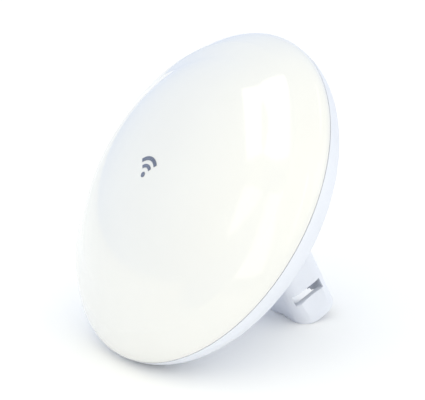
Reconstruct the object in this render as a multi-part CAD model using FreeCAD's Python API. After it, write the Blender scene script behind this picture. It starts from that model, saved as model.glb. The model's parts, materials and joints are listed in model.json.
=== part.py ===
import FreeCAD, Part
import math
import os

# Outdoor wireless bridge: a round dish radio that leans on its rim and on its pole mount.
# Millimetres. Row frame: +Z up from the table, origin under the middle of the object.
# Dish frame: origin at the centre of the rim, +Y backwards along the dish's axis, +Z its top.
# Mount frame: origin at the ball's centre, +Y along the arm to the pole, +Z along the pole.

# Placing
LEAN = 34.98
RIM_CENTRE_Y = -8.68
RIM_CENTRE_Z = 81.37
TILT = 29.8

# Radome and rear shell
RIM_R = 94.5
DOME_DEPTH = 37.0
RADOME_WALL = 2.0
RADOME_EDGE_Y = 1.9
SHELL_EDGE_Y = 2.2
SHELL_BACK_Y = 31.7
EQUATOR_Y = 0.6
SHELL_WALL = 2.4
BOWL_FULLNESS = 0.69
LEDGE_R = 88.6
LEDGE_T = 2.3
TONGUE_T = 1.6
TONGUE_TOP_Y = -1.0
SEAL_W = 1.6
SEAL_H = 2.0

# Reflector and feed
FOCAL_LENGTH = 105.0
VERTEX_Y = 10.5
SHEET_T = 1.0
DISH_R = 78.0
FLANGE_R = 85.0
POST_PITCH_R = 81.5
POST_R = 3.0
FEED_R = 6.0
FEED_WALL = 1.5
FEED_FRONT_Y = -20.0
SUB_R = 15.5
SUB_Y = -28.0

# Electronics
BOARD_Y = 24.5
BOARD_T = 1.6
BOARD_HALF_X = 30.0
BOARD_TOP_Z = 36.0
BOARD_LOW_Z = -35.2
BOARD_SCREW_X = 25.0
BOARD_SCREW_Z = (30.0, -29.0)
SCREW_R = 1.5
SCREW_HEAD_R = 2.8
SCREW_HEAD_T = 1.8
CAN_SIZE = 32.0
CAN_H = 3.0
CAN_DEPTH = 25.6
CAN_WALL = 0.4
CAN_Z = 22.0
CHIP_SIZE = 14.0
CHIP_H = 1.2
JACK_HALF_X = 8.0
JACK_FRONT_Y = 11.0
JACK_LEN = 18.0

# Port bay and its cover
BAY_HALF_X = 13.8
BAY_TOP_Z = -39.2
BAY_LOW_Z = -62.8
BAY_FLOOR_Y = 11.3
BAY_FLOOR_T = 1.8
BAY_WALL = 3.5
COVER_LEDGE = 1.7
COVER_GAP = 0.3
GROMMET_Z = -55.0
GROMMET_FACE_Y = 28.2
GROMMET_R = 4.5
CABLE_R = 2.6
BUTTON_X = 11.3
BUTTON_Y = 20.9
BUTTON_R = 1.5

# Breather in the back of the shell
VENT_PLACE = (-33.0, 8.0)
VENT_R = 4.0
VENT_LIP = 1.6

# Status lights on the side of the shell
LIGHT_COUNT = 5
LIGHT_PITCH = 5.2
LIGHT_TURN = -45.5
LIGHT_RADIUS = 79.5
LED_BOARD_Y = 10.0
LED_BOARD_HALF = 16.0
LIGHT_R = 0.9
LIGHT_POST = 14.6

# Ball joint
BALL_Y = 51.4
BALL_R = 12.0
LINER_GAP = 0.08
LINER_T = 1.4
NECK_R = 15.0
NECK_CORE_R = 8.0
NUT_INNER_R = 15.25
NUT_R = 17.2
NUT_LOW_Y = -9.4
NUT_TOP_Y = 5.6
RIB_COUNT = 24
NUT_RIB_R = 0.9
GUSSET_COUNT = 6
RING_LOW_Y = 0.8
RING_TOP_Y = 3.8
KEY_W = 3.0
KEY_DEPTH = 3.0

# Pole mount
RECESS_R = 19.6
ARM_R = 6.0
ARM_START_Y = 10.7
BASE_Y = 13.0
MOUTH_Y = 54.6
CORNER_END_Y = 51.7
BASE_HALF = (17.8, 14.0)
END_HALF = (19.0, 13.0)
CORNER_R = 8.0
EAR_T = 4.0
END_WALL_T = 3.0
WEB_Y = 26.0
SLOT_Y = (33.4, 39.7)
SLOT_Z = (-10.4, 8.6)
SCOOP_R = 30.0
SCOOP_DEPTH = 1.4
JAW_MID_Y = 49.0
JAW_SLOPE = 0.2
TOOTH_PITCH = 4.6
TOOTH_H = 1.5
SHANK_R = 2.9
HEAD_R = 5.2

V = FreeCAD.Vector
ORIGIN = V(0, 0, 0)
AXIS_X = V(1, 0, 0)
AXIS_Y = V(0, 1, 0)
AXIS_Z = V(0, 0, 1)
DISH_PLACE = FreeCAD.Placement(V(0, RIM_CENTRE_Y, RIM_CENTRE_Z), FreeCAD.Rotation(AXIS_X, -LEAN))
BALL_PLACE = DISH_PLACE.multiply(FreeCAD.Placement(V(0, BALL_Y, 0), FreeCAD.Rotation()))
MOUNT_PLACE = BALL_PLACE.multiply(FreeCAD.Placement(ORIGIN, FreeCAD.Rotation(AXIS_X, -TILT)))


# ---------- helpers ----------

def box(low, high):
    size = V(*high) - V(*low)
    return Part.makeBox(size.x, size.y, size.z, V(*low))


def rod(radius, y0, y1, x=0.0, z=0.0):
    """A cylinder along Y from y0 to y1."""
    return Part.makeCylinder(radius, y1 - y0, V(x, y0, z), AXIS_Y)


def tube(outer, inner, y0, y1):
    return rod(outer, y0, y1).cut(rod(inner, y0 - 1, y1 + 1))


def line(a, b):
    return Part.makeLine(V(a[0], a[1], 0), V(b[0], b[1], 0))


def bezier(*poles):
    curve = Part.BezierCurve()
    curve.setPoles([V(r, y, 0) for r, y in poles])
    return curve.toShape()


def turned(edges):
    """The solid that a closed outline of (radius, y) edges sweeps about the Y axis."""
    wire = Part.Wire(Part.__sortEdges__(edges))
    return Part.Face(wire).revolve(ORIGIN, AXIS_Y, 360)


def turned_points(points):
    closed = list(points) + [points[0]]
    return turned([line(a, b) for a, b in zip(closed, closed[1:])])


def ball(radius):
    return Part.makeSphere(radius, ORIGIN)


def rounded_rect(half_x, half_z, y, radius):
    """A rounded rectangle wire in the plane at this y."""
    edges = []
    corners = ((1, 1, 0), (-1, 1, 90), (-1, -1, 180), (1, -1, 270))
    ends = []
    for sx, sz, start in corners:
        centre = V(sx * (half_x - radius), y, sz * (half_z - radius))
        points = []
        for turn in (0, 45, 90):
            angle = math.radians(start + turn)
            points.append(centre + V(radius * math.cos(angle), 0, radius * math.sin(angle)))
        edges.append(Part.Arc(*points).toShape())
        ends.append((points[0], points[2]))
    for (_, a), (b, _) in zip(ends, ends[1:] + ends[:1]):
        edges.append(Part.makeLine(a, b))
    return Part.Wire(Part.__sortEdges__(edges))


def turned_about_y(shape, degrees):
    copy = shape.copy()
    copy.rotate(ORIGIN, AXIS_Y, degrees)
    return copy


def pan_screw(length):
    """A pan-head screw along +Y, its head's underside at y = 0."""
    head = rod(SCREW_HEAD_R, -SCREW_HEAD_T, 0)
    head = head.makeFillet(0.8, [head.Edges[2] if head.Edges[2].BoundBox.YMax < -1 else head.Edges[0]])
    cross = box((-1.6, -SCREW_HEAD_T - 1, -0.35), (1.6, -SCREW_HEAD_T + 0.9, 0.35))
    screw = head.fuse(rod(SCREW_R, -0.5, length))
    return screw.cut(cross).cut(turned_about_y(cross, 90))


# ---------- radome and rear shell ----------

def dome_curves(shift_in, shift_back):
    """The dome's outline from the apex to the rim: crown, slightly hollow flank, round edge."""
    k = (RIM_R - shift_in) / RIM_R
    crown = ((0, -DOME_DEPTH), (30, -DOME_DEPTH), (54, -31.3), (70, -20.7))
    flank = ((70, -20.7), (74.5, -17.7), (79.2, -15.6), (83.7, -12.6))
    edge = ((83.7, -12.6), (88.2, -8.7), (RIM_R, -3.2), (RIM_R, EQUATOR_Y))
    moved = []
    for poles in (crown, flank, edge):
        moved.append([(r * k, y + shift_back) for r, y in poles])
    moved[2][3] = (RIM_R * k, EQUATOR_Y)
    return moved


def dome_solid(shift_in, shift_back, end_y=RADOME_EDGE_Y):
    curves = dome_curves(shift_in, shift_back)
    apex = curves[0][0]
    last = curves[2][3]
    edges = [bezier(*poles) for poles in curves]
    edges.append(line(last, (last[0], end_y)))
    edges.append(line((last[0], end_y), (0, end_y)))
    edges.append(line((0, end_y), apex))
    return turned(edges)


def radome():
    return dome_solid(0, 0).cut(dome_solid(2.2, RADOME_WALL, RADOME_EDGE_Y + 1))


def emblem():
    """A generic signal symbol, a dot under two arcs, lying 0.25 mm proud of the crown."""
    deep = -DOME_DEPTH - 2
    shapes = [rod(1.5, deep, -30, 0, -4.5)]
    wedge = Part.makePolygon([V(0, deep, -4.5), V(-30, deep, 25.5), V(30, deep, 25.5), V(0, deep, -4.5)])
    wedge = Part.Face(wedge).extrude(V(0, 10, 0))
    for inner, outer in ((4.0, 6.0), (8.2, 10.4)):
        band = rod(outer, deep, -30, 0, -4.5).cut(rod(inner, deep - 1, -29, 0, -4.5))
        shapes.append(band.common(wedge))
    skin = dome_solid(0, -0.25).cut(dome_solid(0, 0, RADOME_EDGE_Y + 1))
    return Part.makeCompound([s.common(skin) for s in shapes])


def bowl_solid(inset, drop=0.0):
    """The solid bowl of the rear shell, or with an inset, the space inside it."""
    r = RIM_R - inset - drop
    back = SHELL_BACK_Y - inset - drop
    side = bezier((r, EQUATOR_Y), (r, BOWL_FULLNESS * back), (r * BOWL_FULLNESS, back), (0, back))
    bowl = turned([side, line((0, back), (0, EQUATOR_Y)), line((0, EQUATOR_Y), (r, EQUATOR_Y))])
    return bowl.cut(rod(RIM_R + 5, EQUATOR_Y - 5, SHELL_EDGE_Y))


def bay_box(grow, floor_y):
    low = (-BAY_HALF_X - grow, floor_y, BAY_LOW_Z - grow)
    return box(low, (BAY_HALF_X + grow, SHELL_BACK_Y + 5, BAY_TOP_Z + grow))


def light_offsets():
    """Sideways offsets of the status lights, which are laid out beside +X and then turned up."""
    first = -LIGHT_PITCH * (LIGHT_COUNT - 1) / 2
    return [first + i * LIGHT_PITCH for i in range(LIGHT_COUNT)]


def post_places():
    return [(POST_PITCH_R, 0), (0, POST_PITCH_R), (-POST_PITCH_R, 0), (0, -POST_PITCH_R)]


def board_screw_places():
    return [(x, z) for x in (-BOARD_SCREW_X, BOARD_SCREW_X) for z in BOARD_SCREW_Z]


def rear_shell():
    inside = bowl_solid(SHELL_WALL)
    shell = bowl_solid(0).cut(inside)
    extras = [
        turned_points([(LEDGE_R, SHELL_EDGE_Y), (RIM_R - 1, SHELL_EDGE_Y),
                       (RIM_R - 1, SHELL_EDGE_Y + LEDGE_T), (LEDGE_R, SHELL_EDGE_Y + LEDGE_T)]),
        tube(LEDGE_R + TONGUE_T, LEDGE_R, TONGUE_TOP_Y, SHELL_EDGE_Y + LEDGE_T),
        bay_box(BAY_WALL, BAY_FLOOR_Y - BAY_FLOOR_T).common(bowl_solid(0.5)),
        rod(NECK_R, SHELL_BACK_Y - 2, BALL_Y + 0.4),
    ]
    for x, z in board_screw_places():
        extras.append(rod(POST_R, BOARD_Y + BOARD_T, SHELL_BACK_Y, x, z).common(bowl_solid(0.5)))
    for x, z in post_places():
        extras.append(rod(POST_R, rim_y(SHEET_T), 30, x, z).common(bowl_solid(0.5).fuse(rod(90, -5, 3))))
    for offset in (-LIGHT_POST, LIGHT_POST):
        boss = rod(1.6, LED_BOARD_Y + 1, 24, LIGHT_RADIUS - 1.5, offset).common(bowl_solid(0.5))
        extras.append(turned_about_y(boss, LIGHT_TURN))
    for i in range(GUSSET_COUNT):
        gusset = Part.makePolygon([V(14, 28, -1), V(28, 28, -1), V(14, 39, -1), V(14, 28, -1)])
        gusset = Part.Face(gusset).extrude(V(0, 0, 2))
        extras.append(turned_about_y(gusset, (i + 0.5) * 360 / GUSSET_COUNT))
    shell = shell.multiFuse(extras)

    seat_r = BALL_R + LINER_GAP + LINER_T + LINER_GAP
    seat = ball(seat_r)
    seat.translate(V(0, BALL_Y, 0))
    cover_space = bay_box(COVER_LEDGE, BAY_FLOOR_Y).cut(bowl_solid(SHELL_WALL, COVER_GAP))
    low = (-JACK_HALF_X - 0.1, JACK_FRONT_Y - 0.1, BAY_TOP_Z - 1)
    jack_way = box(low, (JACK_HALF_X + 0.1, BOARD_Y + 0.1, -30))
    button_way = Part.makeCylinder(BUTTON_R + 0.2, 8, V(BUTTON_X, BUTTON_Y, BAY_TOP_Z - 1), AXIS_Z)
    cuts = [bay_box(0, BAY_FLOOR_Y), cover_space, seat, rod(seat_r, BALL_Y, BALL_Y + 2), jack_way, button_way]
    cuts.append(rod(NECK_CORE_R, SHELL_BACK_Y - 4, BALL_Y - seat_r - SHELL_WALL))
    for turn in (0, 90):
        half = KEY_W / 2 + 0.15
        slot = box((-NECK_R - 1, BALL_Y + 0.4 - KEY_DEPTH, -half), (NECK_R + 1, BALL_Y + 1, half))
        cuts.append(turned_about_y(slot, turn + 45))
    for x, z in board_screw_places():
        cuts.append(rod(SCREW_R, BOARD_Y, BOARD_Y + 3.2, x, z))
    for x, z in post_places():
        cuts.append(rod(SCREW_R, -5, 8, x, z))
    for offset in light_offsets():
        cuts.append(turned_about_y(rod(LIGHT_R, LED_BOARD_Y + 1, 30, LIGHT_RADIUS, offset), LIGHT_TURN))
    x, z = VENT_PLACE
    cuts.append(rod(VENT_R, 20, 40, x, z))
    for cutter in cuts:
        shell = shell.cut(cutter)
    return shell


def vent_plug():
    x, z = VENT_PLACE
    stem = rod(VENT_R, SHELL_BACK_Y - 4.3, SHELL_BACK_Y - 1.2, x, z)
    cap = rod(VENT_R + VENT_LIP, SHELL_BACK_Y - 4, SHELL_BACK_Y + 0.2, x, z)
    cap = cap.cut(bowl_solid(0).cut(rod(VENT_R, 20, 40, x, z)))
    plug = stem.fuse(cap)
    for i in range(4):
        angle = math.radians(45 + 90 * i)
        plug = plug.cut(rod(0.6, 30, 40, x + 2.2 * math.cos(angle), z + 2.2 * math.sin(angle)))
    return plug


def radome_seal():
    r0 = LEDGE_R + TONGUE_T
    return tube(r0 + SEAL_W, r0, SHELL_EDGE_Y - SEAL_H, SHELL_EDGE_Y)


# ---------- reflector and feed ----------

def rim_y(offset=0.0):
    """Where the paraboloid's sheet meets its flat flange."""
    return VERTEX_Y - DISH_R ** 2 / (4 * FOCAL_LENGTH) + offset


def reflector():
    front, back = [
        [(0, VERTEX_Y + offset), (DISH_R / 2, VERTEX_Y + offset), (DISH_R, rim_y(offset))]
        for offset in (0, SHEET_T)
    ]
    edges = [
        bezier(*front),
        line(front[2], (FLANGE_R, rim_y())),
        line((FLANGE_R, rim_y()), (FLANGE_R, rim_y(SHEET_T))),
        line((FLANGE_R, rim_y(SHEET_T)), back[2]),
        bezier(*back),
        line(back[0], front[0]),
    ]
    dish = turned(edges).cut(rod(FEED_R + 0.05, 0, 30))
    for x, z in post_places():
        dish = dish.cut(rod(SCREW_R + 0.1, -20, 10, x, z))
    return dish


def reflector_screws():
    screws = []
    for x, z in post_places():
        screw = pan_screw(8)
        screw.translate(V(x, rim_y(), z))
        screws.append(screw)
    return Part.makeCompound(screws)


def feed_tube():
    barrel = tube(FEED_R, FEED_R - FEED_WALL, FEED_FRONT_Y, BOARD_Y)
    collar = rod(11, VERTEX_Y - 1.8, VERTEX_Y + 2).cut(reflector_backing())
    return barrel.fuse(collar.cut(rod(FEED_R - FEED_WALL, 0, 30)))


def reflector_backing():
    """Everything on and behind the reflector's front face, close to the axis."""
    return rod(30, VERTEX_Y - 0.4, 60).cut(rod(FEED_R - 0.5, 0, 61))


def feed_cone():
    cone = Part.makeCone(FEED_R, SUB_R - 1, FEED_FRONT_Y - SUB_Y, V(0, FEED_FRONT_Y, 0), V(0, -1, 0))
    spigot = rod(FEED_R - FEED_WALL - 0.05, FEED_FRONT_Y, FEED_FRONT_Y + 8)
    for step in (2.0, 4.5):
        groove = tube(30, FEED_R + 0.6 + step, FEED_FRONT_Y - step - 1.0, FEED_FRONT_Y - step)
        cone = cone.cut(groove)
    return cone.fuse(spigot)


def subreflector():
    disc = rod(SUB_R, SUB_Y - 1.2, SUB_Y)
    return disc.fuse(tube(SUB_R, SUB_R - 1, SUB_Y, SUB_Y + 1.5))


# ---------- electronics ----------

def main_board():
    half_z = (BOARD_TOP_Z - BOARD_LOW_Z) / 2
    wire = rounded_rect(BOARD_HALF_X, half_z, BOARD_Y, 5.0)
    board = Part.Face(wire).extrude(V(0, BOARD_T, 0))
    board.translate(V(0, 0, (BOARD_TOP_Z + BOARD_LOW_Z) / 2))
    for x, z in board_screw_places():
        board = board.cut(rod(SCREW_R + 0.1, 20, 35, x, z))
    return board


def board_screws():
    screws = []
    for x, z in board_screw_places():
        screw = pan_screw(3.2)
        screw.translate(V(x, BOARD_Y, z))
        screws.append(screw)
    return Part.makeCompound(screws)


def centred_box(size_x, size_z, y0, y1, x, z):
    return box((x - size_x / 2, y0, z - size_z / 2), (x + size_x / 2, y1, z + size_z / 2))


def shield_can():
    top = BOARD_Y - CAN_H
    outer = centred_box(CAN_SIZE, CAN_DEPTH, top, BOARD_Y, 0, CAN_Z)
    size = (CAN_SIZE - 2 * CAN_WALL, CAN_DEPTH - 2 * CAN_WALL)
    inner = centred_box(*size, top + CAN_WALL, BOARD_Y + 1, 0, CAN_Z)
    return outer.cut(inner)


def processor_chip():
    return centred_box(CHIP_SIZE, CHIP_SIZE, BOARD_Y - CHIP_H, BOARD_Y, 0, CAN_Z)


def thermal_pad():
    top = BOARD_Y - CAN_H + CAN_WALL
    return centred_box(CHIP_SIZE - 1, CHIP_SIZE - 1, top, BOARD_Y - CHIP_H, 0, CAN_Z)


def ethernet_jack():
    body = box((-JACK_HALF_X, JACK_FRONT_Y, BAY_TOP_Z), (JACK_HALF_X, BOARD_Y, BAY_TOP_Z + JACK_LEN))
    mouth = box((-5.9, JACK_FRONT_Y + 2.2, BAY_TOP_Z - 1), (5.9, JACK_FRONT_Y + 10.4, BAY_TOP_Z + 12.5))
    clip_way = box((-3.1, JACK_FRONT_Y + 10.0, BAY_TOP_Z - 1), (3.1, JACK_FRONT_Y + 12.2, BAY_TOP_Z + 10))
    jack = body.cut(mouth).cut(clip_way)
    contacts = []
    for i in range(8):
        x = (i - 3.5) * 1.02
        low = (x - 0.2, JACK_FRONT_Y + 2.2, BAY_TOP_Z + 1.5)
        contacts.append(box(low, (x + 0.2, JACK_FRONT_Y + 2.7, BAY_TOP_Z + 12.5)))
    return jack.multiFuse(contacts)


def reset_switch():
    body = box((BUTTON_X - 3, BUTTON_Y - 2.6, -32.2), (BUTTON_X + 3, BOARD_Y, -29.0))
    stem = Part.makeCylinder(1.0, 0.6, V(BUTTON_X, BUTTON_Y, -32.8), AXIS_Z)
    return body.fuse(stem)


def reset_button():
    pin = Part.makeCylinder(BUTTON_R, 6.0, V(BUTTON_X, BUTTON_Y, BAY_TOP_Z - 0.8), AXIS_Z)
    collar = Part.makeCylinder(BUTTON_R + 0.9, 0.8, V(BUTTON_X, BUTTON_Y, -35.2), AXIS_Z)
    return pin.fuse(collar).fuse(Part.makeCylinder(0.9, 1.3, V(BUTTON_X, BUTTON_Y, -34.6), AXIS_Z))


def led_board():
    low = (LIGHT_RADIUS - 4, LED_BOARD_Y, -LED_BOARD_HALF)
    return turned_about_y(box(low, (LIGHT_RADIUS + 4, LED_BOARD_Y + 1, LED_BOARD_HALF)), LIGHT_TURN)


def led_chips():
    chips = []
    for z in light_offsets():
        low = (LIGHT_RADIUS - 0.8, LED_BOARD_Y + 1, z - 1.0)
        chip = box(low, (LIGHT_RADIUS + 0.8, LED_BOARD_Y + 1.8, z + 1.0))
        chips.append(turned_about_y(chip, LIGHT_TURN))
    return Part.makeCompound(chips)


def light_pipe():
    """A clear bar over the lights, with one short rod through the shell for each."""
    base = LED_BOARD_Y + 1.8
    rods = [rod(LIGHT_R, base, 30, LIGHT_RADIUS, z) for z in light_offsets()]
    first = light_offsets()[0] - 1.5
    bar = box((LIGHT_RADIUS - 1.5, base, first), (LIGHT_RADIUS + 1.5, base + 1.5, -first))
    return turned_about_y(bar.multiFuse(rods), LIGHT_TURN).common(bowl_solid(0))


def ribbon_cable():
    """The flat cable from the main board to the lights' board, as straight runs."""
    top = BOARD_Y
    end = LED_BOARD_Y
    outline = [(33, top - 0.6), (55, top - 3.2), (74, end - 0.6), (80, end - 0.6), (80, end),
               (74.3, end), (55.3, top - 2.6), (33, top)]
    points = [V(x, y, -10) for x, y in outline]
    face = Part.Face(Part.makePolygon(points + points[:1]))
    return turned_about_y(face.extrude(V(0, 0, 6)), LIGHT_TURN)


# ---------- port cover ----------

def port_cover():
    grow = COVER_LEDGE - COVER_GAP
    plate = bay_box(grow, BAY_FLOOR_Y).common(bowl_solid(0)).cut(bowl_solid(SHELL_WALL))
    ribs = []
    for i in range(4):
        z = BAY_TOP_Z - 2.0 - 2.2 * i
        strip = box((-7, 22, z - 0.5), (7, SHELL_BACK_Y + 2, z + 0.5))
        ribs.append(strip.common(bowl_solid(-0.5)).cut(bowl_solid(SHELL_WALL)))
    plate = plate.multiFuse(ribs)
    return plate.cut(rod(GROMMET_R, 15, 50, 0, GROMMET_Z))


def cable_grommet():
    """A rubber grommet with a small hole that a cable opens, seated in the cover."""
    stem = rod(GROMMET_R, GROMMET_FACE_Y - 3.8, GROMMET_FACE_Y + 1.6, 0, GROMMET_Z)
    flange = rod(GROMMET_R + 1.4, GROMMET_FACE_Y - 1.5, GROMMET_FACE_Y + 1.8, 0, GROMMET_Z)
    flange = flange.cut(bowl_solid(0))
    grommet = stem.fuse(flange)
    return grommet.cut(rod(CABLE_R, 10, 50, 0, GROMMET_Z))


# ---------- ball joint ----------

def socket_liner():
    """A half-round cup that the ball turns in, with drain slots."""
    cup = ball(BALL_R + LINER_GAP + LINER_T).cut(ball(BALL_R + LINER_GAP))
    cup = cup.cut(rod(30, -0.2, 30))
    for i in range(6):
        slit = box((-0.6, -8, 5), (0.6, 1, 20))
        cup = cup.cut(turned_about_y(slit, 60 * i))
    return cup


def clamp_ring():
    outer = NECK_R - 0.1
    inner = BALL_R + LINER_GAP
    ring = turned_points([(9, RING_LOW_Y), (outer, RING_LOW_Y), (outer, RING_TOP_Y),
                          (inner + 1.2, RING_TOP_Y + 0.6), (9, RING_TOP_Y - 0.1)])
    ring = ring.cut(ball(inner))
    cone = Part.makeCone(inner - 0.7, inner + 2.2, 2.4, V(0, RING_TOP_Y - 0.6, 0), AXIS_Y)
    ring = ring.cut(cone)
    keys = []
    for i in range(4):
        key = box((13.7, 0.6 - KEY_DEPTH + 0.3, -KEY_W / 2), (NECK_R - 0.1, RING_LOW_Y + 0.5, KEY_W / 2))
        keys.append(turned_about_y(key, 45 + 90 * i))
    return ring.multiFuse(keys)


def lock_nut():
    top = NUT_TOP_Y
    body = turned_points([(NUT_INNER_R, NUT_LOW_Y), (NUT_R, NUT_LOW_Y), (NUT_R, 2.5), (15.0, top),
                          (14.0, top), (14.0, RING_TOP_Y + 0.7), (NUT_INNER_R, RING_TOP_Y + 0.7)])
    ribs = []
    for i in range(RIB_COUNT):
        rib = Part.makeCylinder(NUT_RIB_R, 11, V(NUT_R - 0.1, NUT_LOW_Y + 0.5, 0), AXIS_Y)
        ribs.append(turned_about_y(rib, i * 360 / RIB_COUNT))
    return body.multiFuse(ribs)


def ball_piece():
    sphere = ball(BALL_R).cut(rod(20, ARM_START_Y - 0.3, 30))
    sphere = sphere.cut(rod(2.0, -6, 30))
    groove = tube(30, BALL_R - 0.6, -0.5, 0.5)
    return sphere.cut(groove)


def pivot_screw():
    """A shoulder screw: fixed in the ball, it holds the arm, which turns about it."""
    thread = rod(2.0, -4, ARM_START_Y)
    shank = rod(SHANK_R, ARM_START_Y - 0.3, WEB_Y + 1.2)
    head = rod(HEAD_R, WEB_Y + 1.2, WEB_Y + 4.4)
    hexagon = []
    for i in range(7):
        angle = math.radians(60 * i)
        hexagon.append(V(2.4 * math.cos(angle), WEB_Y + 2.0, 2.4 * math.sin(angle)))
    socket = Part.Face(Part.makePolygon(hexagon)).extrude(V(0, 5, 0))
    return thread.fuse(shank).fuse(head).cut(socket)


def pivot_washer():
    return tube(HEAD_R + 1.2, SHANK_R + 0.1, WEB_Y, WEB_Y + 1.1)


# ---------- pole mount ----------

def jaw_cutter():
    """The space above the two toothed end walls, between the mount's ears."""
    half = END_HALF[0] - EAR_T - 0.5
    count = int(half // (TOOTH_PITCH / 2))
    points = []
    for i in range(-count, count + 1):
        x = i * TOOTH_PITCH / 2
        tooth = TOOTH_H if i % 2 else 0.0
        points.append(V(x, JAW_MID_Y + JAW_SLOPE * abs(x) + tooth, -40))
    low = [V(-half, points[0].y, -40)] + points + [V(half, points[-1].y, -40)]
    top = [V(half, MOUTH_Y + 10, -40), V(-half, MOUTH_Y + 10, -40)]
    outline = low + top
    return Part.Face(Part.makePolygon(outline + outline[:1])).extrude(V(0, 0, 80))


def end_cutter():
    """What lies beyond the ears' rounded ends."""
    side = END_HALF[1] + 5
    drop = MOUTH_Y - CORNER_END_Y
    span = END_HALF[1] - 1.0
    sagitta_r = (span ** 2 + drop ** 2) / (2 * drop)
    cap = Part.makeCylinder(sagitta_r, 60, V(-30, MOUTH_Y - sagitta_r, 0), AXIS_X)
    block = box((-30, 40, -side), (30, MOUTH_Y + 20, side))
    return block.cut(cap)


def pole_mount():
    y_flat = 46.0
    ends = [rounded_rect(*BASE_HALF, BASE_Y, CORNER_R), rounded_rect(*END_HALF, y_flat, CORNER_R)]
    outer = Part.makeLoft(ends, True, True)
    outer = outer.fuse(Part.Face(rounded_rect(*END_HALF, y_flat, CORNER_R)).extrude(V(0, 12, 0)))
    inner_half = (END_HALF[0] - EAR_T, END_HALF[1] - END_WALL_T)
    low_half = (BASE_HALF[0] - EAR_T, BASE_HALF[1] - END_WALL_T)
    ends = [rounded_rect(*low_half, WEB_Y, 4.0), rounded_rect(*inner_half, y_flat, 4.0)]
    hollow = Part.makeLoft(ends, True, True)
    hollow = hollow.fuse(Part.Face(rounded_rect(*inner_half, y_flat, 4.0)).extrude(V(0, 20, 0)))
    body = outer.cut(hollow).cut(ball(RECESS_R))
    body = body.fuse(rod(ARM_R, ARM_START_Y, WEB_Y))
    body = body.fuse(Part.makeCone(ARM_R + 2.5, ARM_R, 4.0, V(0, 20.5, 0), V(0, -1, 0)))
    ribs = []
    for turn in (35, -35):
        rib = box((-17, WEB_Y - 1, -0.9), (17, WEB_Y + 4.5, 0.9))
        ribs.append(turned_about_y(rib, turn).common(outer))
    body = body.multiFuse(ribs)
    body = body.cut(rod(HEAD_R + 2.0, WEB_Y, WEB_Y + 10))
    body = body.cut(rod(SHANK_R + 0.08, 0, 40))
    body = body.cut(jaw_cutter()).cut(end_cutter())
    slot = box((-30, SLOT_Y[0], SLOT_Z[0]), (30, SLOT_Y[1], SLOT_Z[1]))
    body = body.cut(slot)
    for side in (-1, 1):
        scoop = Part.makeSphere(SCOOP_R, V(side * (END_HALF[0] + SCOOP_R - SCOOP_DEPTH), SLOT_Y[1] + 2.0, 0))
        body = body.cut(scoop)
    return body


# ---------- assembly ----------

DISH_PIECES = {
    "radome": radome,
    "radome_seal": radome_seal,
    "emblem": emblem,
    "rear_shell": rear_shell,
    "vent_plug": vent_plug,
    "reflector": reflector,
    "reflector_screws": reflector_screws,
    "feed_tube": feed_tube,
    "feed_cone": feed_cone,
    "subreflector": subreflector,
    "main_board": main_board,
    "board_screws": board_screws,
    "shield_can": shield_can,
    "processor_chip": processor_chip,
    "thermal_pad": thermal_pad,
    "ethernet_jack": ethernet_jack,
    "reset_switch": reset_switch,
    "reset_button": reset_button,
    "led_board": led_board,
    "led_chips": led_chips,
    "light_pipe": light_pipe,
    "ribbon_cable": ribbon_cable,
    "port_cover": port_cover,
    "cable_grommet": cable_grommet,
}
BALL_PIECES = {
    "socket_liner": socket_liner,
    "clamp_ring": clamp_ring,
    "lock_nut": lock_nut,
}
MOUNT_PIECES = {
    "ball": ball_piece,
    "pivot_screw": pivot_screw,
    "pivot_washer": pivot_washer,
    "pole_mount": pole_mount,
}


def export(pieces, place):
    for node, make in pieces.items():
        shape = make()
        shape.Placement = place.multiply(shape.Placement)
        shape.exportStep("parts/" + node + ".step")


os.makedirs("parts", exist_ok=True)
export(DISH_PIECES, DISH_PLACE)
export(BALL_PIECES, BALL_PLACE)
export(MOUNT_PIECES, MOUNT_PLACE)
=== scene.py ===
import bmesh
import bpy
import json
import math
from mathutils import Matrix, Vector


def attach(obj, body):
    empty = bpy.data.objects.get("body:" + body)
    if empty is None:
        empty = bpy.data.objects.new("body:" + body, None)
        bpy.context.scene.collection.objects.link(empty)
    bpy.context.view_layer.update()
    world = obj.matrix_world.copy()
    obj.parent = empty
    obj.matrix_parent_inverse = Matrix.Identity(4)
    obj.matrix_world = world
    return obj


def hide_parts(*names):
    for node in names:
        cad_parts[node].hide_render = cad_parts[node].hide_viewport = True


# Looks for a round dish radio on a ball-joint pole mount. Metres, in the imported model's frame.
# The dome is shaped in the frame DISH, which has its origin at the rim's centre and +Y backwards
# along the dish's axis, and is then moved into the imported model's frame.

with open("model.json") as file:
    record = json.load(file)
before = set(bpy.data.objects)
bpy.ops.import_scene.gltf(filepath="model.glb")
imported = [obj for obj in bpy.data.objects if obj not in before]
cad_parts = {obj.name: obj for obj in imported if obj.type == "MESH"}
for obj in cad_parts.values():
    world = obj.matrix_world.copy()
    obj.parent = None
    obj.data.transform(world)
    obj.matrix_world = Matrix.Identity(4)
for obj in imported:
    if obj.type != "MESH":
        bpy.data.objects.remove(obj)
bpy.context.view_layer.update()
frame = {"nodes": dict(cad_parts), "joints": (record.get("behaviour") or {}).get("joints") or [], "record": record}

MM = 0.001
JOINTS = {joint["name"]: joint for joint in frame["joints"]}
AXIS_X = Vector((1, 0, 0))
BALL_BEHIND_RIM = 51.4 * MM
RIM_R = 94.5
DOME_DEPTH = 37.0
RADOME_EDGE_Y = 1.9
RADOME_WALL = 2.0
RADOME_SIDE_WALL = 2.2
LIP_START_Y = 0.6
LIP_ROUND = 0.35
LATHE_STEPS = 288


# ---------- places ----------

def local_frame(origin, axis_y):
    """The matrix of a frame whose X is the row's X and whose Y is this axis."""
    axis_z = AXIS_X.cross(axis_y)
    columns = Matrix((AXIS_X, axis_y, axis_z)).transposed().to_4x4()
    return Matrix.Translation(origin) @ columns


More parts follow.
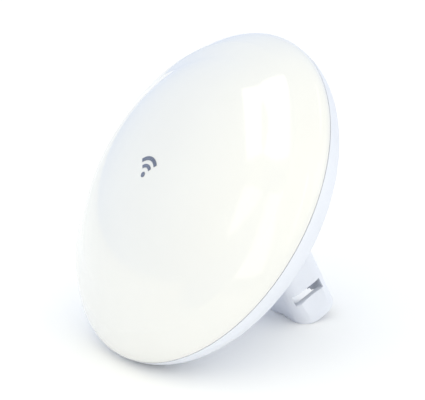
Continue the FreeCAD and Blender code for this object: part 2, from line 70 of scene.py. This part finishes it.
BALL_CENTRE = Vector(JOINTS["ball_swivel"]["pos_m"])
DISH_AXIS = Vector(JOINTS["cover_slide"]["axis"])
RIM_CENTRE = BALL_CENTRE - DISH_AXIS * BALL_BEHIND_RIM
DISH = local_frame(RIM_CENTRE, DISH_AXIS)


# ---------- materials ----------

class Shader:
    """A Principled material with its texture coordinates, built up node by node."""

    def __init__(self, name):
        self.material = bpy.data.materials.new(name)
        self.material.use_nodes = True
        self.tree = self.material.node_tree
        self.surface = self.tree.nodes["Principled BSDF"]
        self.place = self.tree.nodes.new("ShaderNodeTexCoord").outputs["Object"]
        self.heights = []

    def link(self, a, b):
        self.tree.links.new(a, b)

    def scaled(self, scale):
        """Object coordinates stretched by this scale on each axis."""
        mapping = self.tree.nodes.new("ShaderNodeMapping")
        mapping.inputs["Scale"].default_value = scale
        self.link(self.place, mapping.inputs["Vector"])
        return mapping.outputs["Vector"]

    def noise(self, size_mm, detail=3.0, place=None, roughness=0.5):
        node = self.tree.nodes.new("ShaderNodeTexNoise")
        node.inputs["Scale"].default_value = 1.0 / (size_mm * MM)
        node.inputs["Detail"].default_value = detail
        node.inputs["Roughness"].default_value = roughness
        self.link(place or self.place, node.inputs["Vector"])
        return node.outputs["Fac"]

    def mapped(self, value, low, high, start=0.3, end=0.7):
        node = self.tree.nodes.new("ShaderNodeMapRange")
        node.inputs["From Min"].default_value = start
        node.inputs["From Max"].default_value = end
        node.inputs["To Min"].default_value = low
        node.inputs["To Max"].default_value = high
        self.link(value, node.inputs["Value"])
        return node.outputs["Result"]

    def tinted(self, value, dark, light, start=0.3, end=0.7):
        """A colour that goes from dark to light with this value."""
        node = self.tree.nodes.new("ShaderNodeValToRGB")
        node.color_ramp.elements[0].position = start
        node.color_ramp.elements[1].position = end
        node.color_ramp.elements[0].color = (*dark, 1)
        node.color_ramp.elements[1].color = (*light, 1)
        self.link(value, node.inputs["Fac"])
        return node.outputs["Color"]

    def colour(self, socket):
        self.link(socket, self.surface.inputs["Base Color"])

    def roughness(self, value, low, high):
        self.link(self.mapped(value, low, high), self.surface.inputs["Roughness"])

    def bump(self, value, depth_mm, strength=1.0):
        """Adds one layer of relief over the layers that are there."""
        node = self.tree.nodes.new("ShaderNodeBump")
        node.inputs["Strength"].default_value = strength
        node.inputs["Distance"].default_value = depth_mm * MM
        self.link(value, node.inputs["Height"])
        if self.heights:
            self.link(self.heights[-1], node.inputs["Normal"])
        self.heights.append(node.outputs["Normal"])
        self.link(node.outputs["Normal"], self.surface.inputs["Normal"])

    def constants(self, **values):
        for key, value in values.items():
            socket = key.replace("_", " ").title().replace("Ior", "IOR")
            self.surface.inputs[socket].default_value = value


def shade(colour, factor):
    return tuple(min(1.0, c * factor) for c in colour)


def moulded(name, colour, rough, grain_mm, depth_mm, spread=0.04, coat=0.0, rough_spread=0.06):
    """Moulded plastic or rubber: spark texture, faint flow marks and fine dust in the colour."""
    s = Shader(name)
    flow = s.noise(38, 4.0, s.scaled((1.0, 0.6, 1.0)))
    s.colour(s.tinted(flow, shade(colour, 1 - spread), shade(colour, 1 + spread / 3)))
    s.roughness(s.noise(6, 5.0), rough - rough_spread, rough + rough_spread)
    s.bump(s.noise(grain_mm, 2.0), depth_mm)
    if coat:
        s.constants(coat_weight=coat, coat_roughness=0.03)
    return s


def metal(name, colour, rough, grain_mm, stretch=(1.0, 1.0, 1.0), anisotropic=0.3):
    """Worked metal: fine lines drawn along one axis and a duller bloom in patches."""
    s = Shader(name)
    lines = s.noise(grain_mm, 4.0, s.scaled(stretch))
    bloom = s.noise(9, 4.0)
    s.colour(s.tinted(bloom, shade(colour, 0.86), shade(colour, 1.06)))
    s.roughness(lines, rough - 0.08, rough + 0.12)
    s.bump(lines, 0.01, 0.4)
    s.constants(metallic=1.0, anisotropic=anisotropic)
    return s


def radome_gloss():
    """Polished ABS under a clear coat: a few micrometres of orange peel and faint haze."""
    s = Shader("radome_gloss")
    haze = s.noise(45, 3.0)
    s.colour(s.tinted(haze, (0.78, 0.778, 0.754), (0.80, 0.798, 0.774)))
    s.roughness(s.noise(9, 5.0), 0.10, 0.17)
    s.bump(s.noise(3.2, 2.0), 0.0022)
    s.bump(s.noise(0.5, 2.0), 0.0006)
    s.constants(coat_weight=1.0, coat_roughness=0.035, ior=1.5)
    return s


def board_green():
    """Solder mask over copper: broad ground areas, thin tracks and tinned pads."""
    s = Shader("board_green")
    tracks = s.tree.nodes.new("ShaderNodeTexBrick")
    tracks.inputs["Scale"].default_value = 1 / (9 * MM)
    tracks.inputs["Color1"].default_value = (0.012, 0.16, 0.06, 1)
    tracks.inputs["Color2"].default_value = (0.02, 0.22, 0.085, 1)
    tracks.inputs["Mortar"].default_value = (0.006, 0.09, 0.035, 1)
    tracks.inputs["Mortar Size"].default_value = 0.03
    s.link(s.scaled((1.0, 0.56, 0.83)), tracks.inputs["Vector"])
    s.colour(tracks.outputs["Color"])
    s.roughness(s.noise(1.2), 0.28, 0.42)
    s.bump(tracks.outputs["Fac"], 0.03, 0.5)
    return s


def light_clear():
    """Smoky polycarbonate, a little red where the dark light sits under it."""
    s = Shader("light_clear")
    depth = s.noise(1.4, 2.0)
    s.colour(s.tinted(depth, (0.23, 0.12, 0.10), (0.42, 0.27, 0.23)))
    s.roughness(depth, 0.22, 0.4)
    s.bump(s.noise(0.3), 0.004)
    s.constants(transmission_weight=0.25)
    return s


WHITE = (0.775, 0.80, 0.865)
SHADERS = {
    "radome_gloss": radome_gloss(),
    "seal_rubber": moulded("seal_rubber", (0.58, 0.59, 0.61), 0.62, 0.35, 0.02, 0.2),
    "emblem_grey": metal("emblem_grey", (0.27, 0.285, 0.33), 0.26, 0.5, (0.3, 1.0, 3.0)),
    "shell_matte": moulded("shell_matte", WHITE, 0.46, 0.42, 0.010, 0.03),
    "vent_grey": moulded("vent_grey", (0.42, 0.44, 0.47), 0.55, 0.4, 0.012, 0.08),
    "reflector_metal": metal("reflector_metal", (0.70, 0.71, 0.72), 0.3, 0.8, (1.0, 0.1, 1.0), 0.5),
    "screw_steel": metal("screw_steel", (0.50, 0.51, 0.53), 0.33, 0.4, (1.0, 1.0, 1.0)),
    "feed_metal": metal("feed_metal", (0.66, 0.66, 0.65), 0.28, 0.3, (0.1, 1.0, 1.0), 0.5),
    "feed_plastic": moulded("feed_plastic", (0.80, 0.80, 0.76), 0.42, 0.6, 0.008),
    "board_green": board_green(),
    "can_steel": metal("can_steel", (0.60, 0.60, 0.58), 0.36, 0.5, (0.1, 1.0, 1.0), 0.2),
    "chip_black": moulded("chip_black", (0.018, 0.018, 0.02), 0.5, 0.15, 0.006, 0.25),
    "pad_grey": moulded("pad_grey", (0.23, 0.26, 0.30), 0.8, 0.5, 0.03, 0.15),
    "jack_steel": metal("jack_steel", (0.58, 0.58, 0.57), 0.27, 0.4, (1.0, 0.1, 1.0), 0.3),
    "button_grey": moulded("button_grey", (0.10, 0.105, 0.115), 0.42, 0.25, 0.008, 0.12),
    "led_clear": moulded("led_clear", (0.75, 0.76, 0.60), 0.2, 0.5, 0.003, 0.1, 0.6),
    "light_clear": light_clear(),
    "ribbon_white": moulded("ribbon_white", (0.66, 0.67, 0.69), 0.4, 0.6, 0.004, 0.06),
    "grommet_rubber": moulded("grommet_rubber", (0.03, 0.03, 0.033), 0.6, 0.3, 0.02, 0.25),
    "liner_grey": moulded("liner_grey", (0.33, 0.36, 0.40), 0.34, 0.5, 0.006, 0.08),
    "ring_white": moulded("ring_white", shade(WHITE, 0.96), 0.40, 0.4, 0.008),
    "nut_white": moulded("nut_white", WHITE, 0.45, 0.36, 0.012, 0.03),
    "ball_white": moulded("ball_white", shade(WHITE, 0.98), 0.34, 0.5, 0.006),
    "mount_matte": moulded("mount_matte", WHITE, 0.44, 0.40, 0.012, 0.03),
}


def dress_frame():
    """Every CAD node takes the material of its slot."""
    for part in frame["record"]["subparts"]:
        mesh = frame["nodes"][part["node"]].data
        mesh.materials.clear()
        mesh.materials.append(SHADERS[part["material_slot"]].material)


# ---------- mesh helpers ----------

def add_piece(name, bm, matrix, slot, body, angle=30, replaced=()):
    """Puts a mesh made in a local frame, in millimetres, into the scene on its body."""
    bmesh.ops.recalc_face_normals(bm, faces=bm.faces)
    mesh = bpy.data.meshes.new(name)
    bm.to_mesh(mesh)
    bm.free()
    mesh.transform(matrix @ Matrix.Scale(MM, 4))
    return finish_piece(name, mesh, slot, body, angle, replaced)


def finish_piece(name, mesh, slot, body, angle=30, replaced=()):
    piece = bpy.data.objects.new(name, mesh)
    bpy.context.scene.collection.objects.link(piece)
    mesh.materials.clear()
    mesh.materials.append(SHADERS[slot].material)
    mesh.shade_smooth()
    mesh.set_sharp_from_angle(angle=math.radians(angle))
    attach(piece, body)
    if replaced:
        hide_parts(*replaced)
    return piece


def bezier_points(poles, count):
    """Points on a cubic curve, without its last one."""
    a, b, c, d = [Vector(p) for p in poles]
    points = []
    for i in range(count):
        t = i / count
        s = 1 - t
        points.append(a * s ** 3 + b * 3 * s * s * t + c * 3 * s * t * t + d * t ** 3)
    return points


def lathe(bm, outline, steps):
    """Turns a closed outline of (radius, y) about Y. Points at radius 0 become single poles."""
    rings = []
    for radius, y in outline:
        if radius < 1e-6:
            rings.append([bm.verts.new((0, y, 0))])
            continue
        ring = []
        for i in range(steps):
            angle = 2 * math.pi * i / steps
            ring.append(bm.verts.new((radius * math.cos(angle), y, radius * math.sin(angle))))
        rings.append(ring)
    for low, high in zip(rings, rings[1:] + rings[:1]):
        if len(low) == 1 and len(high) == 1:
            continue
        for i in range(steps):
            j = (i + 1) % steps
            corners = [low[i % len(low)], low[j % len(low)], high[j % len(high)], high[i % len(high)]]
            bm.faces.new(list(dict.fromkeys(corners)))


def softened(node, name, body, slot, width_mm, angle=30):
    """A copy of a CAD node with its sharp edges rounded, which stands for that node."""
    bm = bmesh.new()
    bm.from_mesh(frame["nodes"][node].data)
    bmesh.ops.remove_doubles(bm, verts=bm.verts, dist=0.01 * MM)
    bmesh.ops.dissolve_limit(bm, angle_limit=math.radians(1.5), verts=bm.verts, edges=bm.edges)
    mesh = bpy.data.meshes.new(name)
    bm.to_mesh(mesh)
    bm.free()
    source = bpy.data.objects.new(name + "_source", mesh)
    bpy.context.scene.collection.objects.link(source)
    bevel = source.modifiers.new("round", "BEVEL")
    bevel.width = width_mm * MM
    bevel.segments = 3
    bevel.limit_method = "ANGLE"
    bevel.angle_limit = math.radians(angle)
    graph = bpy.context.evaluated_depsgraph_get()
    rounded = bpy.data.meshes.new_from_object(source.evaluated_get(graph))
    bpy.data.objects.remove(source)
    return finish_piece(name, rounded, slot, body, 40, (node,))


# ---------- the dish ----------

def dome_outline(shift_in, shift_back, count):
    """The radome's curve from its apex to its rim, moved inwards and backwards."""
    k = (RIM_R - shift_in) / RIM_R
    crown = ((0, -DOME_DEPTH), (30, -DOME_DEPTH), (54, -31.3), (70, -20.7))
    flank = ((70, -20.7), (74.5, -17.7), (79.2, -15.6), (83.7, -12.6))
    edge = ((83.7, -12.6), (88.2, -8.7), (RIM_R, -3.2), (RIM_R, LIP_START_Y))
    points = []
    for poles, share in ((crown, 1.0), (flank, 0.3), (edge, 0.5)):
        moved = [(r * k, y + shift_back) for r, y in poles]
        points += bezier_points(moved, int(count * share))
    return points


def radome():
    """The glossy dome: smooth outside, with a thickness and a small round at its edge."""
    outside = dome_outline(0, 0, 56)
    inside = dome_outline(RADOME_SIDE_WALL, RADOME_WALL, 18)
    lip = [Vector((RIM_R, LIP_START_Y)), Vector((RIM_R, RADOME_EDGE_Y - LIP_ROUND)),
           Vector((RIM_R - 0.1, RADOME_EDGE_Y - 0.1)), Vector((RIM_R - LIP_ROUND, RADOME_EDGE_Y))]
    inner_lip = [Vector((RIM_R - RADOME_SIDE_WALL, RADOME_EDGE_Y))]
    bm = bmesh.new()
    apex_inside = [Vector((0, RADOME_WALL - DOME_DEPTH))]
    lathe(bm, outside + lip + inner_lip + inside[:0:-1] + apex_inside, LATHE_STEPS)
    add_piece("radome_dome", bm, DISH, "radome_gloss", "housing", 50, ("radome",))


# ---------- camera, floor and light ----------

CAMERA_AZIMUTH = -31.15
CAMERA_ELEVATION = 18.3
CAMERA_ROLL = -1.94
CAMERA_DISTANCE = 1.2
FOCAL_MM = 191.6
LIGHT_DISTANCE = 1.5
WARM = (1.0, 0.95, 0.72)
COOL = (0.9, 0.95, 1.0)
BRIGHT_SIDE = (-10, 50)
ROOM_COOL = (0.59, 0.655, 0.785)
ROOM_WARM = (1.0, 0.985, 0.91)
ROOM_STRENGTH = 1.24
FLOOR_HALF = 6.0
SENSOR_MM = 36.0
AIM_OFFSET = Vector((4.79, 5.99, -3.03)) * MM


def camera_axes():
    """The directions right, up and back of the camera, before its roll."""
    azimuth = math.radians(CAMERA_AZIMUTH)
    elevation = math.radians(CAMERA_ELEVATION)
    level = Vector((math.cos(azimuth), math.sin(azimuth), 0))
    back = level * math.cos(elevation) + Vector((0, 0, math.sin(elevation)))
    right = Vector((0, 0, 1)).cross(back).normalized()
    return right, back.cross(right), back


def add_camera():
    right, up, back = camera_axes()
    roll = Matrix.Rotation(math.radians(CAMERA_ROLL), 4, "Z")
    turn = Matrix((right, up, back)).transposed().to_4x4() @ roll
    data = bpy.data.cameras.new("camera")
    data.lens = FOCAL_MM
    data.sensor_width = SENSOR_MM
    data.clip_start = 0.01
    camera = bpy.data.objects.new("camera", data)
    bpy.context.scene.collection.objects.link(camera)
    place = RIM_CENTRE + AIM_OFFSET + back * CAMERA_DISTANCE
    camera.matrix_world = Matrix.Translation(place) @ turn
    bpy.context.scene.camera = camera


def stage_material():
    s = Shader("studio_floor")
    s.colour(s.tinted(s.noise(160, 3.0), (0.97, 0.968, 0.96), (0.985, 0.983, 0.975)))
    s.roughness(s.noise(12), 0.82, 0.92)
    s.bump(s.noise(1.5), 0.01, 0.2)
    return s.material


def add_floor():
    mesh = bpy.data.meshes.new("floor")
    signs = ((-1, -1), (1, -1), (1, 1), (-1, 1))
    corners = [(FLOOR_HALF * x, FLOOR_HALF * y, 0) for x, y in signs]
    mesh.from_pydata(corners, [], [(0, 1, 2, 3)])
    mesh.materials.append(stage_material())
    floor = bpy.data.objects.new("floor", mesh)
    bpy.context.scene.collection.objects.link(floor)


def towards(azimuth, elevation):
    a, e = math.radians(azimuth), math.radians(elevation)
    return Vector((math.cos(a) * math.cos(e), math.sin(a) * math.cos(e), math.sin(e)))


def softbox(name, start, end, width, radiance, colour):
    """A rectangular light whose long axis runs between two directions as seen from the dish."""
    low = towards(*start) * LIGHT_DISTANCE
    high = towards(*end) * LIGHT_DISTANCE
    middle = (low + high) / 2
    along = (high - low).normalized()
    away = (middle - along * middle.dot(along)).normalized()
    data = bpy.data.lights.new(name, "AREA")
    data.shape = "RECTANGLE"
    data.size = width
    data.size_y = (high - low).length
    data.energy = radiance * math.pi * data.size * data.size_y
    data.color = colour
    light = bpy.data.objects.new(name, data)
    bpy.context.scene.collection.objects.link(light)
    turn = Matrix((along.cross(away), along, away)).transposed().to_4x4()
    light.matrix_world = Matrix.Translation(RIM_CENTRE + middle) @ turn


def add_lights():
    """Directions are (azimuth, elevation) in degrees from +X towards +Y and from the floor up."""
    softbox("key_box", (-61, 6), (-65, 49), 0.56, 0.92, WARM)
    softbox("top_strip", (-177, 60.5), (-87, 60.5), 0.28, 1.35, WARM)
    softbox("front_strip", (-27, 15), (-20, 54), 0.05, 1.6, WARM)
    softbox("rear_strip", (108, 62), (24, 64), 0.05, 1.6, WARM)
    softbox("side_fill", (28, 8), (28, 52), 1.1, 0.28, COOL)


def add_world():
    """A room that is cool and dimmer low on one side, warm and brighter up on the other."""
    world = bpy.data.worlds.new("studio")
    world.use_nodes = True
    tree = world.node_tree
    place = tree.nodes.new("ShaderNodeTexCoord").outputs["Generated"]
    facing = tree.nodes.new("ShaderNodeVectorMath")
    facing.operation = "DOT_PRODUCT"
    facing.inputs[1].default_value = towards(*BRIGHT_SIDE)
    tree.links.new(place, facing.inputs[0])
    ramp = tree.nodes.new("ShaderNodeValToRGB")
    ramp.color_ramp.elements[0].position = 0.0
    ramp.color_ramp.elements[0].color = (*ROOM_COOL, 1)
    ramp.color_ramp.elements[1].color = (*ROOM_WARM, 1)
    tree.links.new(facing.outputs["Value"], ramp.inputs["Fac"])
    background = tree.nodes["Background"]
    tree.links.new(ramp.outputs["Color"], background.inputs["Color"])
    background.inputs["Strength"].default_value = ROOM_STRENGTH
    bpy.context.scene.world = world


dress_frame()
radome()
softened("pole_mount", "mount_body", "pole_mount", "mount_matte", 0.35)
softened("port_cover", "cover_body", "port_cover", "shell_matte", 0.3)
softened("lock_nut", "nut_body", "lock_nut", "nut_white", 0.35)
add_floor()
add_world()
add_lights()
add_camera()

bpy.context.scene.view_settings.view_transform = "Standard"
